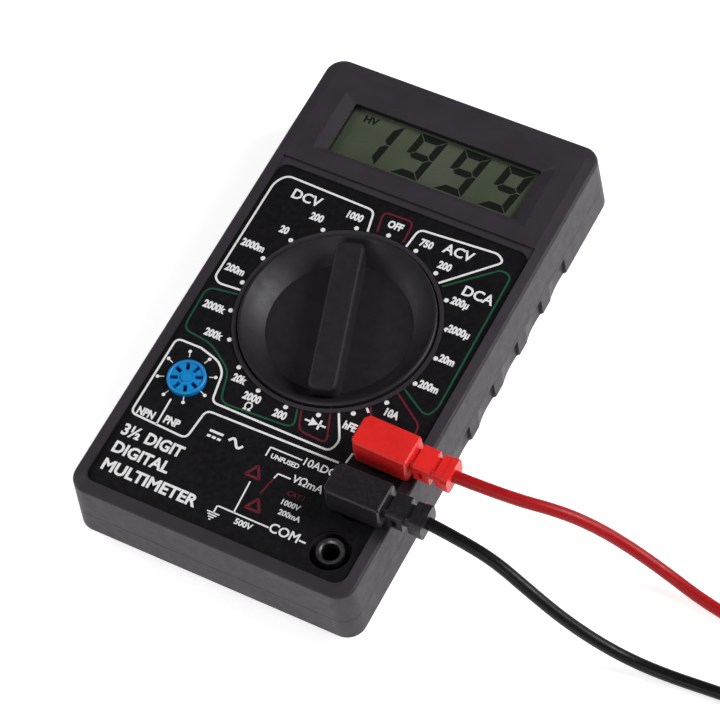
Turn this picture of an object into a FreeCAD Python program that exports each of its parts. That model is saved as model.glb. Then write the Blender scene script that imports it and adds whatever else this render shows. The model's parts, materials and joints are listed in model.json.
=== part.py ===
"""Pocket digital multimeter with two test leads.

The meter lies on its back.  +Z points out of the face, +Y towards the display, +X towards the
right-hand side where the jacks are.  Z = 0 is the rear face and X = Y = 0 is the middle of the
case outline.  All sizes are in millimetres.
"""
import FreeCAD, Part
import math
import os

from FreeCAD import Vector

os.makedirs("parts", exist_ok=True)

# ---------------------------------------------------------------- case
CASE_WIDTH = 70.5            # at the widest line
CASE_LENGTH = 126.0
CASE_CORNER = 4.3
REAR_INSET = 3.5             # bevel round the rear face
WIDE_Z = 4.2                 # height of the widest line
SEAM_Z = 11.0                # where the two case halves meet
SEAM_GROOVE = 0.08
RIM_Z = 21.7                 # top of the face
EDGE_Z = 21.2                # outer edge of the sloping border
EDGE_ROUND = 0.7
BORDER = 2.8
RIM_WIDTH = 69.1
RIM_LENGTH = 124.45
WALL = 1.6
CAVITY_HALF_X = 33.1
CAVITY_HALF_Y = 60.9
FACE_UNDERSIDE_Z = 18.8

LIP_HEIGHT = 1.6             # rear lip that enters the front half
LIP_THICKNESS = 0.8

# side grips moulded into the rear half
GRIP_PITCH = 11.9
GRIP_TOP_Y = 39.4
GRIP_COUNT = 5
GRIP_RADIUS = 18.0
GRIP_DEPTH = 1.0
GRIP_TOP_Z = 9.8

# ---------------------------------------------------------------- face
LABEL_FLOOR_Z = 20.4
LABEL_TOP_Z = 20.8
LABEL_HALF_X = 31.9
LABEL_Y = (-59.4, 30.9)
LABEL_CORNER = 3.0
STEP_Y = 32.6                # top of the small terrace above the label
STEP_Z = 21.2

WINDOW_CENTRE_Y = 45.4
WINDOW_SIZE = (47.6, 14.1)   # clear opening
BEVEL_SIZE = (53.8, 17.4)    # outer edge of the bevel round it
BEVEL_DEPTH = 1.1
PLATEAU_UNDERSIDE_Z = 20.2

DIAL_X = 0.0
DIAL_Y = -1.43
DIAL_HOLE_R = 22.6
DIAL_RING_R = 23.6
DIAL_RING_Z = 21.1

JACK_X = 25.4
JACK_PITCH = 12.7
JACK_COM_Y = -52.5
JACK_VMA_Y = JACK_COM_Y + JACK_PITCH
JACK_10A_Y = JACK_VMA_Y + JACK_PITCH
JACK_HOLE_R = 4.65
JACK_TUBE_R = 3.1
JACK_BORE_R = 2.05
JACK_Z = (4.6, 20.7)
JACK_WELL_Z = (15.4, 16.2)   # floor of the well round each jack
JACK_WELL_R = 5.5

SOCKET_X = -23.4
SOCKET_Y = -28.2
SOCKET_R = 4.45
SOCKET_FOOT_R = 3.9
SOCKET_TOP_Z = 21.5

# ---------------------------------------------------------------- circuit board
PCB_Z = (11.8, 13.4)
PCB_HALF_X = 32.0
PCB_TOP_Y = 59.6
PCB_LOW_Y = -32.4
PCB_TONGUE_X = 21.4          # left edge of the tongue that carries the jacks
PCB_TONGUE_Y = -58.6

CASE_POSTS = [(-30.2, -24.6), (30.2, -17.0)]
PCB_POSTS = [(-29.3, 28.5), (29.3, 28.5), (-30.2, -10.0), (30.2, -5.0)]
CASE_POST_R = 2.7
PCB_POST_R = 2.0

# ---------------------------------------------------------------- selector
KNOB_R = 22.2
KNOB_RIM_Z = 22.0
DISH_R = 16.6
DISH_Z = 17.6
DISH_SAG = 0.15
GRIP_BAR_LENGTH = 38.2
GRIP_BAR_WIDTH = 6.5
GRIP_BAR_TOP_Z = 23.5
BAR_CORNER_SHARE = 0.25
FLANGE_R = 24.6
FLANGE_Z = (15.4, 18.5)
KNOB_PLATE_Z = 14.4
PIVOT_R = 2.4
DETENTS = 20
DETENT_CREST_R = 26.2
DETENT_RING_R = 28.0
BALL_R = 1.1
BALL_CENTRE_R = 25.0
BALL_Z = 16.95
POCKET_R = 19.6              # inner end of the radial pockets for the detent springs
KNOB_REST_DEG = 18.0         # the 1000 V stop, one step anticlockwise of OFF
FIT = 0.05

# ---------------------------------------------------------------- battery, 6F22 / 9 V size
BATTERY_BODY = (46.4, 25.8, 16.9)
BATTERY_X0 = -26.8
BATTERY_Y0 = -59.0
BATTERY_Z0 = 1.7
TERMINAL_HEIGHT = 2.6

# ---------------------------------------------------------------- test leads
CORD_D = 2.8
CABLE_Z = 24.8               # cord axis where it leaves a plug
PLUG_BASE_Z = 21.9
PLUG_TOP_Z = 28.4
PLUG_BACK = 6.4
PLUG_FRONT = 7.7
PLUG_LENGTH = 17.2           # pin axis to the outer flange face
NECK_COLLAR = (8.8, 12.6)
NECK_NOTCH = (10.1, 11.2)
NECK_FLANGE = (13.9, PLUG_LENGTH)
PIN_TIP_Z = 5.4
RED_YAW = -1.5
BLACK_YAW = 0.0

COIL_INNER_R = 9.9
COIL_OUTER_R = 18.3
COIL_HEIGHT = 2 * CORD_D

PROBE_AXIS_Z = 5.0
PROBE_LENGTH = 84.0
PROBE_TIP_LENGTH = 20.0

RED_ROUTE = [(42.59, -27.55, 24.8), (55.1, -27.1, 24.2), (65.3, -24.0, 20.8), (72.4, -21.8, 15.6),
             (79.2, -20.3, 9.4), (87.2, -20.1, 4.0), (96.6, -21.9, 1.6), (107.0, -23.6, 1.4),
             (117.5, -24.2, 1.4), (127.5, -23.9, 1.4)]
RED_COIL = (126.0, -8.0)
RED_TAIL = [(142.9, -9.5, 4.2), (142.9, 2.5, 4.0), (142.7, 15.0, 2.2), (142.1, 28.0, 1.4),
            (141.8, 40.5, 1.4), (142.3, 52.0, 1.4), (147.4, 59.2, 1.4), (155.7, 61.9, 1.4),
            (163.9, 59.3, 1.4), (169.0, 52.3, 1.8), (169.5, 44.0, 4.0), (169.4, 36.0, 5.0)]
RED_PROBE = (169.4, 36.0)
BLACK_ROUTE = [(42.6, -39.8, 24.8), (51.3, -40.4, 24.7), (59.2, -41.0, 23.2), (67.2, -42.0, 19.0),
               (74.4, -42.2, 13.2), (81.4, -41.6, 7.4), (88.8, -40.8, 3.0), (97.5, -40.2, 1.5),
               (108.0, -39.6, 1.4), (118.5, -39.2, 1.4), (129.5, -39.9, 1.4)]
BLACK_COIL = (128.0, -56.0)
BLACK_TAIL = [(144.9, -54.5, 4.2), (144.6, -62.5, 3.4), (145.2, -70.2, 1.7), (152.2, -79.8, 1.4),
              (163.6, -83.4, 1.4), (174.8, -79.6, 1.4), (182.0, -70.2, 1.8), (182.8, -60.0, 4.2),
              (182.6, -51.0, 5.0)]
BLACK_PROBE = (182.6, -51.0)


# ================================================================ shape helpers
def box(x, y, z):
    """A block between three (low, high) pairs."""
    return Part.makeBox(x[1] - x[0], y[1] - y[0], z[1] - z[0], Vector(x[0], y[0], z[0]))


def cylinder(x, y, z, radius):
    """An upright cylinder between the two heights of z."""
    return Part.makeCylinder(radius, z[1] - z[0], Vector(x, y, z[0]))


def ring(x, y, z, outer, inner):
    """An upright tube."""
    return cylinder(x, y, z, outer).cut(cylinder(x, y, (z[0] - 1, z[1] + 1), inner))


def rounded_wire(half_x, half_y, radius, z, centre=(0.0, 0.0)):
    """A horizontal rectangle with arc corners."""
    cx, cy = centre
    x = half_x - radius
    y = half_y - radius
    d = radius * math.sqrt(0.5)
    edges = []
    for sx, sy, tx, ty in ((1, 1, -1, 1), (-1, 1, -1, -1), (-1, -1, 1, -1), (1, -1, 1, 1)):
        first = Vector(cx + sx * half_x, cy + sy * y, z)
        second = Vector(cx + sx * x, cy + sy * half_y, z)
        if sx * sy < 0:
            first, second = second, first
        middle = Vector(cx + sx * (x + d), cy + sy * (y + d), z)
        edges.append(Part.Arc(first, middle, second).toShape())
        if tx != sx:
            start = Vector(cx + sx * x, cy + sy * half_y, z)
            end = Vector(cx + tx * x, cy + ty * half_y, z)
        else:
            start = Vector(cx + sx * half_x, cy + sy * y, z)
            end = Vector(cx + tx * half_x, cy + ty * y, z)
        edges.append(Part.makeLine(start, end))
    return Part.Wire(Part.__sortEdges__(edges))


def rounded_prism(half_x, half_y, radius, z, centre=(0.0, 0.0)):
    """An upright block with rounded corners."""
    face = Part.Face(rounded_wire(half_x, half_y, radius, z[0], centre))
    return face.extrude(Vector(0, 0, z[1] - z[0]))


def loft(wires):
    """A solid with straight sides through a stack of outlines."""
    return Part.makeLoft(wires, True, True)


def polygon_wire(points, z):
    """A closed horizontal outline through (x, y) points."""
    corners = [Vector(x, y, z) for x, y in points]
    return Part.makePolygon(corners + corners[:1])


def revolve(profile, origin, axis, radial):
    """Turn a list of (radius, height) points round an axis."""
    points = [origin + radial * r + axis * h for r, h in profile]
    face = Part.Face(Part.makePolygon(points + points[:1]))
    return face.revolve(origin, axis, 360)


def upright_revolve(profile, x, y):
    """Turn (radius, z) points round a vertical axis."""
    return revolve(profile, Vector(x, y, 0), Vector(0, 0, 1), Vector(1, 0, 0))


def fuse(first, *others):
    """Join solids into one."""
    return first.multiFuse(list(others)).removeSplitter()


def cut(first, *others):
    """Take solids away from one."""
    return first.cut(Part.makeCompound(list(others)))


def save(name, shape):
    """Write one sub-part."""
    if not shape.isValid():
        print("INVALID", name)
    shape.exportStep("parts/%s.step" % name)
    print("%-22s %2d solid(s) %10.1f mm3" % (name, len(shape.Solids), shape.Volume))


# ================================================================ cords and wires
def bend_radius(before, corner, after):
    """The arc that uses 0.45 of the shorter of the two runs at a corner."""
    incoming = corner - before
    outgoing = after - corner
    half_turn = incoming.getAngle(outgoing) / 2
    reach = 0.45 * min(incoming.Length, outgoing.Length)
    return reach / math.tan(half_turn), reach


def route_wire(points):
    """Straight runs joined by tangent arcs, with the smallest radius and the length."""
    corners = [Vector(*p) for p in points]
    edges = []
    radii = []
    here = corners[0]
    for before, corner, after in zip(corners, corners[1:], corners[2:]):
        radius, reach = bend_radius(before, corner, after)
        into = (corner - before).normalize()
        out = (after - corner).normalize()
        start = corner - into * reach
        end = corner + out * reach
        inward = (out - into).normalize()
        half_turn = into.getAngle(out) / 2
        middle = corner + inward * (radius / math.cos(half_turn) - radius)
        edges.append(Part.makeLine(here, start))
        edges.append(Part.Arc(start, middle, end).toShape())
        radii.append(radius)
        here = end
    edges.append(Part.makeLine(here, corners[-1]))
    return Part.Wire(edges), radii


def cord_tube(name, points, diameter):
    """A round cord along a route."""
    wire, radii = route_wire(points)
    start = Vector(*points[0])
    heading = Vector(*points[1]) - start
    section = Part.Wire(Part.makeCircle(diameter / 2, start, heading))
    tube = wire.makePipeShell([section], True, False)
    ideal = math.pi * diameter ** 2 / 4 * wire.Length
    print("%-22s length %.1f, volume ratio %.4f" % (name, wire.Length, tube.Volume / ideal))
    print("%-22s bend radii %s" % (name, " ".join("%.0f" % r for r in radii)))
    return tube


def coil_solid(centre):
    """The outer shape of a wound coil lying on the floor."""
    return ring(centre[0], centre[1], (0.0, COIL_HEIGHT), COIL_OUTER_R, COIL_INNER_R)


# ================================================================ case halves
def side_outline(z, inset=0.0):
    """The case outline at a height above the widest line, where the sides lean in a little."""
    rise = (z - WIDE_Z) / (RIM_Z - WIDE_Z)
    half_x = (CASE_WIDTH + rise * (RIM_WIDTH - CASE_WIDTH)) / 2 - inset
    half_y = (CASE_LENGTH + rise * (RIM_LENGTH - CASE_LENGTH)) / 2 - inset
    return rounded_wire(half_x, half_y, CASE_CORNER - inset, z)


def front_outer():
    """Outside of the front half: leaning walls, a rounded edge and a border that rises to the face."""
    base = EDGE_Z - EDGE_ROUND
    outlines = [side_outline(SEAM_Z, SEAM_GROOVE), side_outline(SEAM_Z + SEAM_GROOVE)]
    for degrees in (0, 25, 50, 75):
        angle = math.radians(degrees)
        inset = EDGE_ROUND * (1 - math.cos(angle))
        outlines.append(side_outline(base + EDGE_ROUND * math.sin(angle), inset))
    outlines.append(side_outline(RIM_Z, BORDER))
    return loft(outlines)


def detent_ring():
    """Notched ring under the face that the selector's balls run in."""
    z = (14.6, FACE_UNDERSIDE_Z + 0.1)
    wall = ring(DIAL_X, DIAL_Y, z, DETENT_RING_R, DETENT_CREST_R)
    notch_r = 1.25
    notch_centre_r = 25.6
    notches = []
    for step in range(DETENTS):
        angle = math.radians(90 + KNOB_REST_DEG + step * 360 / DETENTS)
        x = DIAL_X + notch_centre_r * math.cos(angle)
        y = DIAL_Y + notch_centre_r * math.sin(angle)
        notches.append(cylinder(x, y, (z[0] - 1, z[1] + 1), notch_r))
    return cut(wall, *notches)


def front_case():
    """Front half: face, bezel, side walls, posts and the detent ring."""
    shell = front_outer()
    cavity = rounded_prism(CAVITY_HALF_X, CAVITY_HALF_Y, 4.2, (SEAM_Z - 1, FACE_UNDERSIDE_Z))
    rebate_half_x = CAVITY_HALF_X + LIP_THICKNESS + FIT
    rebate_half_y = CAVITY_HALF_Y + LIP_THICKNESS + FIT
    rebate = rounded_prism(rebate_half_x, rebate_half_y, 5.0, (SEAM_Z - 1, SEAM_Z + LIP_HEIGHT + FIT))
    display_bay = box((-29.7, 29.7), (33.2, 58.7), (FACE_UNDERSIDE_Z - 1, PLATEAU_UNDERSIDE_Z))
    shell = cut(shell, cavity, rebate, display_bay)

    label_mid = (0.0, sum(LABEL_Y) / 2)
    label_half = (LABEL_Y[1] - LABEL_Y[0]) / 2
    label_bay = rounded_prism(LABEL_HALF_X, label_half, LABEL_CORNER, (LABEL_FLOOR_Z, RIM_Z + 1), label_mid)
    terrace = box((-LABEL_HALF_X, LABEL_HALF_X), (LABEL_Y[1] - 4, STEP_Y), (STEP_Z, RIM_Z + 1))
    shell = cut(shell, label_bay, terrace)

    window_mid = (0.0, WINDOW_CENTRE_Y)
    half_w, half_h = WINDOW_SIZE[0] / 2, WINDOW_SIZE[1] / 2
    opening = rounded_prism(half_w, half_h, 0.6, (PLATEAU_UNDERSIDE_Z - 1, RIM_Z + 1), window_mid)
    slope = RIM_Z - BEVEL_DEPTH
    inner = rounded_wire(half_w, half_h, 0.6, slope, window_mid)
    outer = rounded_wire(BEVEL_SIZE[0] / 2, BEVEL_SIZE[1] / 2, 1.0, RIM_Z, window_mid)
    shell = cut(shell, opening, loft([inner, outer]))

    raised_ring = cylinder(DIAL_X, DIAL_Y, (FACE_UNDERSIDE_Z, DIAL_RING_Z), DIAL_RING_R)
    dial_hole = cylinder(DIAL_X, DIAL_Y, (FACE_UNDERSIDE_Z - 1, RIM_Z + 1), DIAL_HOLE_R)
    posts = []
    holes = [dial_hole]
    for x, y in CASE_POSTS:
        posts.append(cylinder(x, y, (SEAM_Z + 0.6, FACE_UNDERSIDE_Z + 0.1), CASE_POST_R))
        holes.append(cylinder(x, y, (SEAM_Z, SEAM_Z + 6.2), 1.25))
    for x, y in PCB_POSTS:
        posts.append(cylinder(x, y, (PCB_Z[1], FACE_UNDERSIDE_Z + 0.1), PCB_POST_R))
        holes.append(cylinder(x, y, (PCB_Z[1] - 1, PCB_Z[1] + 3.6), 0.85))
    for y in (JACK_10A_Y, JACK_VMA_Y, JACK_COM_Y):
        posts.append(cylinder(JACK_X, y, (JACK_WELL_Z[0], FACE_UNDERSIDE_Z + 0.1), JACK_WELL_R))
        holes.append(cylinder(JACK_X, y, (JACK_WELL_Z[1], RIM_Z), JACK_HOLE_R))
        holes.append(cylinder(JACK_X, y, (JACK_WELL_Z[0] - 1, RIM_Z), JACK_TUBE_R + FIT))
    shell = fuse(shell, raised_ring, detent_ring(), *posts)
    holes.append(cylinder(SOCKET_X, SOCKET_Y, (FACE_UNDERSIDE_Z - 1, RIM_Z), SOCKET_R + 0.25))
    shell = cut(shell, *holes)
    for x in (-15.0, 15.0):
        latch = box((x - 4.2, x + 4.2), (CAVITY_HALF_Y, 62.2), (SEAM_Z + 0.55, SEAM_Z + 1.3))
        shell = cut(shell, latch)
    return shell


def grip_cuts():
    """Scallops along both long sides, each with a sharp upper edge."""
    cuts = []
    for index in range(GRIP_COUNT):
        top = GRIP_TOP_Y - index * GRIP_PITCH
        for side in (-1, 1):
            x = side * (CASE_WIDTH / 2 - GRIP_DEPTH + GRIP_RADIUS)
            roller = cylinder(x, top - 2.5, (-1, GRIP_TOP_Z), GRIP_RADIUS)
            span = sorted((side * 30.0, side * 40.0))
            cuts.append(roller.common(box(span, (top - GRIP_PITCH, top), (-1, GRIP_TOP_Z))))
    return cuts


def rear_case():
    """Rear half: tray with bevelled edge, grips, screw tubes, lip and battery rib."""
    rear_face = rounded_wire(CASE_WIDTH / 2 - REAR_INSET, CASE_LENGTH / 2 - REAR_INSET, 4.0, 0.0)
    shell = loft([rear_face, side_outline(WIDE_Z), side_outline(SEAM_Z - SEAM_GROOVE),
                  side_outline(SEAM_Z, SEAM_GROOVE)])
    lip_z = (SEAM_Z - 0.6, SEAM_Z + LIP_HEIGHT)
    lip = rounded_prism(CAVITY_HALF_X + LIP_THICKNESS, CAVITY_HALF_Y + LIP_THICKNESS, 5.0, lip_z)
    latches = []
    for x in (-15.0, 15.0):
        latches.append(box((x - 4.0, x + 4.0), (60.0, 62.05), (SEAM_Z + 0.65, SEAM_Z + 1.2)))
    shell = fuse(shell, lip, *latches)

    floor_inset = 2.9
    low = rounded_wire(CAVITY_HALF_X - floor_inset, CAVITY_HALF_Y - floor_inset, 2.4, WALL)
    bend = rounded_wire(CAVITY_HALF_X, CAVITY_HALF_Y, 4.2, WALL + 4.0)
    top = rounded_wire(CAVITY_HALF_X, CAVITY_HALF_Y, 4.2, lip_z[1] + 1)
    shell = cut(shell, loft([low, bend, top]), *grip_cuts())

    battery_end = BATTERY_X0 + BATTERY_BODY[0] + 0.1
    inner = [box((-24.5, 19.0), (-32.9, -31.7), (WALL - 0.1, 8.0)),
             box((battery_end, battery_end + 1.2), (-56.0, -34.0), (WALL - 0.1, 4.4))]
    for x, y in CASE_POSTS:
        inner.append(cylinder(x, y, (WALL - 0.6, SEAM_Z + 0.6), CASE_POST_R))
    shell = fuse(shell, *inner)
    holes = []
    for x, y in CASE_POSTS:
        holes.append(cylinder(x, y, (-1, 6.4), 2.3))
        holes.append(cylinder(x, y, (-1, SEAM_Z + 2), 1.35))
    holes.append(rounded_prism(21.0, 15.0, 2.0, (-1, 0.3), (0.0, 22.0)))
    return cut(shell, *holes)


# ================================================================ face parts
def face_label():
    """Thin printed plate that fills the recess, cut out round the dial, jacks and socket."""
    mid = (0.0, sum(LABEL_Y) / 2)
    half = (LABEL_Y[1] - LABEL_Y[0]) / 2
    z = (LABEL_FLOOR_Z, LABEL_TOP_Z)
    over = (z[0] - 1, z[1] + 1)
    plate = rounded_prism(LABEL_HALF_X - FIT, half - FIT, LABEL_CORNER, z, mid)
    holes = [cylinder(DIAL_X, DIAL_Y, over, DIAL_RING_R + FIT)]
    for y in (JACK_10A_Y, JACK_VMA_Y, JACK_COM_Y):
        holes.append(cylinder(JACK_X, y, over, JACK_HOLE_R))
    holes.append(cylinder(SOCKET_X, SOCKET_Y, over, SOCKET_R + 0.25))
    return cut(plate, *holes)


def lcd_window():
    """Clear pane bonded under the bezel."""
    return rounded_prism(28.0, 10.0, 1.0, (19.2, PLATEAU_UNDERSIDE_Z), (0.0, WINDOW_CENTRE_Y))


def lcd_gasket():
    """Black foam ring between the cell and the pane."""
    z = (19.0, 19.2)
    centre = (0.0, WINDOW_CENTRE_Y)
    half_w, half_h = WINDOW_SIZE[0] / 2, WINDOW_SIZE[1] / 2
    outer = rounded_prism(half_w + 1.2, half_h + 0.85, 0.6, z, centre)
    return outer.cut(rounded_prism(half_w, half_h, 0.3, (z[0] - 1, z[1] + 1), centre))


def lcd_glass():
    """Two-layer liquid crystal cell with a contact ledge along its lower edge."""
    lower_plate = box((-26.0, 26.0), (34.6, 56.4), (17.0, 18.0))
    upper_plate = box((-26.0, 26.0), (37.4, 56.4), (18.0, 19.0))
    return fuse(lower_plate, upper_plate)


def lcd_frame():
    """Plastic frame that holds the cell and its contact strip over the board."""
    frame = box((-29.5, 29.5), (33.4, 58.4), (PCB_Z[1], 19.1))
    cell_seat = box((-26.1, 26.1), (34.5, 56.5), (17.0, 20.0))
    light_well = box((-24.0, 24.0), (39.4, 55.0), (PCB_Z[1] - 1, 18.0))
    strip_slot = box((-25.1, 25.1), (34.9, 37.9), (PCB_Z[1] - 1, 18.0))
    return cut(frame, cell_seat, light_well, strip_slot)


def zebra_strip():
    """Elastomer strip that links the board to the cell."""
    return box((-25.0, 25.0), (35.0, 37.8), (PCB_Z[1], 17.0))


def transistor_socket():
    """Round eight-way socket with radial slots."""
    drum = cylinder(SOCKET_X, SOCKET_Y, (15.0, SOCKET_TOP_Z), SOCKET_R)
    foot = cylinder(SOCKET_X, SOCKET_Y, (PCB_Z[1], 15.1), SOCKET_FOOT_R)
    crown = Part.makeTorus(SOCKET_R - 0.4, 0.4, Vector(SOCKET_X, SOCKET_Y, SOCKET_TOP_Z - 0.05))
    hub = cylinder(SOCKET_X, SOCKET_Y, (SOCKET_TOP_Z - 0.1, SOCKET_TOP_Z + 0.3), 1.2)
    body = fuse(drum, foot, crown, hub)
    slots = []
    for step in range(8):
        slot = box((1.9, 3.7), (-0.45, 0.45), (SOCKET_TOP_Z - 5.0, SOCKET_TOP_Z + 2))
        slot.rotate(Vector(0, 0, 0), Vector(0, 0, 1), 22.5 + 45 * step)
        slot.translate(Vector(SOCKET_X, SOCKET_Y, 0))
        slots.append(slot)
    return cut(body, *slots)


def input_jack(y):
    """Plated tube with a solder collar, soldered through the board."""
    collar_z = (PCB_Z[1], PCB_Z[1] + 0.8)
    tube = cylinder(JACK_X, y, JACK_Z, JACK_TUBE_R)
    collar = cylinder(JACK_X, y, collar_z, JACK_TUBE_R + 0.8)
    body = fuse(tube, collar)
    mouth = Part.makeCone(JACK_BORE_R, JACK_BORE_R + 0.4, 0.4, Vector(JACK_X, y, JACK_Z[1] - 0.4))
    bore = cylinder(JACK_X, y, (JACK_Z[0] - 1, JACK_Z[1] + 1), JACK_BORE_R)
    return cut(body, bore, mouth)


# ================================================================ board and what is on it
def pcb():
    """Circuit board with the jack tongue, pivot hole and notches for the case posts."""
    main = box((-PCB_HALF_X, PCB_HALF_X), (PCB_LOW_Y, PCB_TOP_Y), PCB_Z)
    tongue = box((PCB_TONGUE_X, PCB_HALF_X), (PCB_TONGUE_Y, PCB_LOW_Y + 1), PCB_Z)
    board = fuse(main, tongue)
    over = (PCB_Z[0] - 1, PCB_Z[1] + 1)
    holes = [cylinder(DIAL_X, DIAL_Y, over, PIVOT_R + FIT)]
    for x, y in CASE_POSTS:
        holes.append(cylinder(x, y, over, CASE_POST_R + 0.5))
    for x, y in PCB_POSTS:
        holes.append(cylinder(x, y, over, 1.0))
    for y in (JACK_10A_Y, JACK_VMA_Y, JACK_COM_Y):
        holes.append(cylinder(JACK_X, y, over, JACK_TUBE_R))
    return cut(board, *holes)


def meter_chip():
    """Epoxy drop over the measuring chip, on the rear of the board."""
    radius = 22.0
    drop_r = 8.5
    height = radius - math.sqrt(radius ** 2 - drop_r ** 2)
    ball = Part.makeSphere(radius, Vector(0, 45, PCB_Z[0] + radius - height))
    return ball.common(cylinder(0, 45, (PCB_Z[0] - height - 1, PCB_Z[0]), drop_r + 1))


def axial_part(x, y, body_r, body_length):
    """A resistor lying under the board with its two bent legs."""
    drop = body_r + 0.4
    z = PCB_Z[0] - drop
    half = body_length / 2
    span = half + 2.0
    along = Vector(0, 1, 0)
    body = Part.makeCylinder(body_r, body_length, Vector(x, y - half, z), along)
    leg = Part.makeCylinder(0.3, 2 * span, Vector(x, y - span, z), along)
    legs = [cylinder(x, y + side * span, (z, PCB_Z[0]), 0.3) for side in (-1, 1)]
    knees = [Part.makeSphere(0.3, Vector(x, y + side * span, z)) for side in (-1, 1)]
    return fuse(body, leg, *(legs + knees))


def resistors():
    """Two rows of precision resistors."""
    parts = []
    for column in range(6):
        parts.append(axial_part(-24.0 + 4.4 * column, 6.0, 1.15, 6.3))
    for column in range(5):
        parts.append(axial_part(-22.0 + 4.4 * column, -18.0, 1.15, 6.3))
    return Part.makeCompound(parts)


def capacitors():
    """Three film capacitors and one electrolytic can."""
    parts = []
    for x, y in ((-20.0, 24.0), (-12.0, 24.0), (-20.0, 34.5)):
        parts.append(box((x, x + 7.2), (y, y + 2.6), (PCB_Z[0] - 6.0, PCB_Z[0])))
    parts.append(cylinder(20.0, 38.0, (PCB_Z[0] - 7.0, PCB_Z[0]), 2.6))
    return Part.makeCompound(parts)


TRIMMER = (17.0, 24.0)


def trimmer_base():
    """Square body of the calibration trimmer, with a round well for its rotor."""
    x, y = TRIMMER
    body = box((x - 3.3, x + 3.3), (y - 3.3, y + 3.3), (PCB_Z[0] - 4.2, PCB_Z[0]))
    return cut(body, cylinder(x, y, (PCB_Z[0] - 5, PCB_Z[0] - 1.2), 2.55))


def trimmer_rotor():
    """Slotted rotor that the screwdriver turns."""
    x, y = TRIMMER
    rotor = cylinder(x, y, (PCB_Z[0] - 4.5, PCB_Z[0] - 1.3), 2.5)
    return cut(rotor, box((x - 3, x + 3), (y - 0.4, y + 0.4), (PCB_Z[0] - 5, PCB_Z[0] - 3.5)))


FUSE_Y = 16.5
FUSE_X = (-7.0, 13.0)
FUSE_Z = 6.6
FUSE_R = 2.6


def fuse_tube():
    """Glass tube of a 5 x 20 mm fuse."""
    caps_length = 5.0
    length = FUSE_X[1] - FUSE_X[0] - 2 * caps_length
    start = Vector(FUSE_X[0] + caps_length, FUSE_Y, FUSE_Z)
    outer = Part.makeCylinder(FUSE_R - 0.2, length, start, Vector(1, 0, 0))
    return outer.cut(Part.makeCylinder(FUSE_R - 0.8, length, start, Vector(1, 0, 0)))


def fuse_caps():
    """End caps of the fuse."""
    caps = []
    for x in (FUSE_X[0], FUSE_X[1] - 5.0):
        caps.append(Part.makeCylinder(FUSE_R, 5.0, Vector(x, FUSE_Y, FUSE_Z), Vector(1, 0, 0)))
    return Part.makeCompound(caps)


def fuse_clips():
    """Two spring clips that hold the fuse under the board."""
    clips = []
    for x in (FUSE_X[0] + 0.6, FUSE_X[1] - 4.4):
        arms_y = (FUSE_Y - FUSE_R - 0.5, FUSE_Y + FUSE_R + 0.5)
        bracket = box((x, x + 3.8), arms_y, (FUSE_Z - 1.6, PCB_Z[0]))
        bore = Part.makeCylinder(FUSE_R, 6, Vector(x - 1, FUSE_Y, FUSE_Z), Vector(1, 0, 0))
        throat = box((x - 1, x + 5), (FUSE_Y - 1.9, FUSE_Y + 1.9), (FUSE_Z - 3, FUSE_Z))
        clips.append(cut(bracket, bore, throat))
    return Part.makeCompound(clips)


def shunt_wire():
    """Thick loop of resistance wire behind the high-current jack."""
    top = PCB_Z[0]
    points = [(19.0, -24.0, top), (19.0, -24.0, top - 3.4), (19.0, -20.6, top - 6.2),
              (19.0, -14.4, top - 6.2), (19.0, -11.0, top - 3.4), (19.0, -11.0, top)]
    return cord_tube("shunt_wire", points, 1.5)


# ================================================================ selector
def bar_outline(length, width, z):
    """A long outline with small rounded corners, lying along Y."""
    return rounded_wire(width / 2, length / 2, width * BAR_CORNER_SHARE, z)


def knob_disc():
    """The turned part of the knob: dish, rim, hidden flange, contact plate and pivot."""
    low = (DISH_R, DISH_Z)
    lip = (KNOB_R - 0.7, KNOB_RIM_Z)
    sag = ((low[0] + lip[0]) / 2 + DISH_SAG, (low[1] + lip[1]) / 2 - DISH_SAG)
    rest = [lip, (KNOB_R - 0.3, KNOB_RIM_Z), (KNOB_R, KNOB_RIM_Z - 0.3), (KNOB_R, FLANGE_Z[1]),
            (FLANGE_R, FLANGE_Z[1]), (FLANGE_R, FLANGE_Z[0]), (20.0, FLANGE_Z[0]),
            (20.0, KNOB_PLATE_Z), (PIVOT_R, KNOB_PLATE_Z), (PIVOT_R, PCB_Z[0] - 0.8),
            (0, PCB_Z[0] - 0.8), (0, DISH_Z), low]
    places = [Vector(r, 0, z) for r, z in rest]
    bowl = Part.Arc(places[-1], Vector(sag[0], 0, sag[1]), places[0]).toShape()
    edges = [bowl] + [Part.makeLine(p, q) for p, q in zip(places, places[1:])]
    face = Part.Face(Part.Wire(edges))
    return face.revolve(Vector(0, 0, 0), Vector(0, 0, 1), 360)


def selector_knob():
    """Dished knob with a raised bar across it."""
    foot = bar_outline(GRIP_BAR_LENGTH, GRIP_BAR_WIDTH, DISH_Z - 1.5)
    neck = bar_outline(GRIP_BAR_LENGTH, GRIP_BAR_WIDTH, GRIP_BAR_TOP_Z - 0.6)
    shoulder = bar_outline(GRIP_BAR_LENGTH - 0.4, GRIP_BAR_WIDTH - 0.4, GRIP_BAR_TOP_Z - 0.15)
    crown = bar_outline(GRIP_BAR_LENGTH - 1.2, GRIP_BAR_WIDTH - 1.2, GRIP_BAR_TOP_Z)
    knob = knob_disc()
    for side in (-1, 1):
        start = Vector(side * POCKET_R, 0, BALL_Z)
        knob = knob.cut(Part.makeCylinder(BALL_R + FIT, 6.0, start, Vector(side, 0, 0)))
    return place_on_dial(fuse(knob, loft([foot, neck, shoulder, crown])))


def place_on_dial(shape):
    """Turn a piece of the selector to its rest position and put it on the dial axis."""
    shape.rotate(Vector(0, 0, 0), Vector(0, 0, 1), KNOB_REST_DEG)
    shape.translate(Vector(DIAL_X, DIAL_Y, 0))
    return shape


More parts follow.
